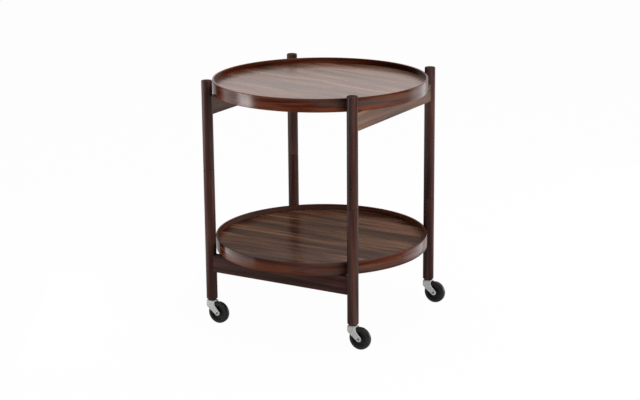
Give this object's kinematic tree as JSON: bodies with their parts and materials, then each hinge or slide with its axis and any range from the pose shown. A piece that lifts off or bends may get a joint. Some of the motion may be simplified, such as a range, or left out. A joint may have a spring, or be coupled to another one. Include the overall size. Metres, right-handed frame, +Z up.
{
  "type": "tray table",
  "caption": "Round tray table in dark stained wood: loose upper and lower trays on the rails of a folding frame of turned legs, standing on swivel castors.",
  "frame": {"origin": "on the floor, under the middle of the table", "axes": "+Z up, +X along the lower rails, +Y along the upper rails"},
  "size_m": [0.5, 0.5, 0.5795],
  "materials": {
    "leg wood": "dark stain, satin lacquer",
    "rail wood": "dark stain, satin lacquer",
    "rim wood": "bent wood, satin lacquer",
    "tray veneer": "streaked veneer, lacquer",
    "dowel wood": "bare beech",
    "pin steel": "turned",
    "dark steel": "black oxide",
    "zinc plate": "bright zinc",
    "black washer": "matt",
    "wheel plastic": "matt",
    "tyre": "matt"
  },
  "bodies": {
    "lower_front_frame": {"lower_front_rail": "rail wood", "lower_front_rail_dowels": "dowel wood", "left_leg_lower": "leg wood", "left_pivot_pin": "pin steel", "left_pivot_washer": "black washer", "left_castor_socket": "dark steel", "front_leg_lower": "leg wood", "front_pivot_pin": "pin steel", "front_pivot_washer": "black washer", "front_castor_socket": "dark steel"},
    "upper_right_frame": {"upper_right_rail": "rail wood", "upper_right_rail_dowels": "dowel wood", "front_leg_upper": "leg wood", "right_leg_upper": "leg wood"},
    "upper_left_frame": {"upper_left_rail": "rail wood", "upper_left_rail_dowels": "dowel wood", "left_leg_upper": "leg wood", "back_leg_upper": "leg wood"},
    "lower_back_frame": {"lower_back_rail": "rail wood", "lower_back_rail_dowels": "dowel wood", "right_leg_lower": "leg wood", "right_pivot_pin": "pin steel", "right_pivot_washer": "black washer", "right_castor_socket": "dark steel", "back_leg_lower": "leg wood", "back_pivot_pin": "pin steel", "back_pivot_washer": "black washer", "back_castor_socket": "dark steel"},
    "upper_tray": {"upper_tray_rim": "rim wood", "upper_tray_panel": "tray veneer"},
    "lower_tray": {"lower_tray_rim": "rim wood", "lower_tray_panel": "tray veneer"},
    "left_castor": {"left_castor_fork": "zinc plate", "left_castor_stem": "pin steel", "left_castor_washer": "black washer", "left_castor_axle": "zinc plate"},
    "left_wheel": {"left_wheel_hub": "wheel plastic", "left_wheel_tyre": "tyre"},
    "front_castor": {"front_castor_fork": "zinc plate", "front_castor_stem": "pin steel", "front_castor_washer": "black washer", "front_castor_axle": "zinc plate"},
    "front_wheel": {"front_wheel_hub": "wheel plastic", "front_wheel_tyre": "tyre"},
    "right_castor": {"right_castor_fork": "zinc plate", "right_castor_stem": "pin steel", "right_castor_washer": "black washer", "right_castor_axle": "zinc plate"},
    "right_wheel": {"right_wheel_hub": "wheel plastic", "right_wheel_tyre": "tyre"},
    "back_castor": {"back_castor_fork": "zinc plate", "back_castor_stem": "pin steel", "back_castor_washer": "black washer", "back_castor_axle": "zinc plate"},
    "back_wheel": {"back_wheel_hub": "wheel plastic", "back_wheel_tyre": "tyre"}
  },
  "joints": [
    {"name": "frame_fold", "type": "hinge", "parent": "lower_front_frame", "child": "upper_right_frame", "pos_m": [0.18936, -0.18936, 0.325], "axis": [0, 0, 1], "range_deg": [-0.9, 0.9]},
    {"name": "left_leg_fold", "type": "hinge", "parent": "lower_front_frame", "child": "upper_left_frame", "pos_m": [-0.18936, -0.18936, 0.372], "axis": [0, 0, 1], "range_deg": [-0.9, 0.9]},
    {"name": "right_leg_fold", "type": "hinge", "parent": "upper_right_frame", "child": "lower_back_frame", "pos_m": [0.18936, 0.18936, 0.261], "axis": [0, 0, 1], "range_deg": [-0.9, 0.9]},
    {"name": "upper_tray_lift", "type": "slide", "parent": "upper_right_frame", "child": "upper_tray", "axis": [0, 0, 1], "range_m": [0, 0.2]},
    {"name": "lower_tray_lift", "type": "slide", "parent": "lower_front_frame", "child": "lower_tray", "axis": [0, 0, 1], "range_m": [0, 0.28]},
    {"name": "left_castor_swivel", "type": "hinge", "parent": "lower_front_frame", "child": "left_castor", "pos_m": [-0.18936, -0.18936, 0.0544], "axis": [0, 0, 1], "continuous": true},
    {"name": "left_wheel_spin", "type": "hinge", "parent": "left_castor", "child": "left_wheel", "pos_m": [-0.17086, -0.18936, 0.026], "axis": [0, 1, 0], "continuous": true},
    {"name": "front_castor_swivel", "type": "hinge", "parent": "lower_front_frame", "child": "front_castor", "pos_m": [0.18936, -0.18936, 0.0544], "axis": [0, 0, 1], "continuous": true},
    {"name": "front_wheel_spin", "type": "hinge", "parent": "front_castor", "child": "front_wheel", "pos_m": [0.20786, -0.18936, 0.026], "axis": [0, 1, 0], "continuous": true},
    {"name": "right_castor_swivel", "type": "hinge", "parent": "lower_back_frame", "child": "right_castor", "pos_m": [0.18936, 0.18936, 0.0544], "axis": [0, 0, 1], "continuous": true},
    {"name": "right_wheel_spin", "type": "hinge", "parent": "right_castor", "child": "right_wheel", "pos_m": [0.20786, 0.18936, 0.026], "axis": [0, 1, 0], "continuous": true},
    {"name": "back_castor_swivel", "type": "hinge", "parent": "lower_back_frame", "child": "back_castor", "pos_m": [-0.18936, 0.18936, 0.0544], "axis": [0, 0, 1], "continuous": true},
    {"name": "back_wheel_spin", "type": "hinge", "parent": "back_castor", "child": "back_wheel", "pos_m": [-0.17086, 0.18936, 0.026], "axis": [0, 1, 0], "continuous": true}
  ],
  "couplings": [
    {"joint": "left_leg_fold", "follows": "frame_fold", "ratio": 1},
    {"joint": "right_leg_fold", "follows": "frame_fold", "ratio": -1}
  ]
}
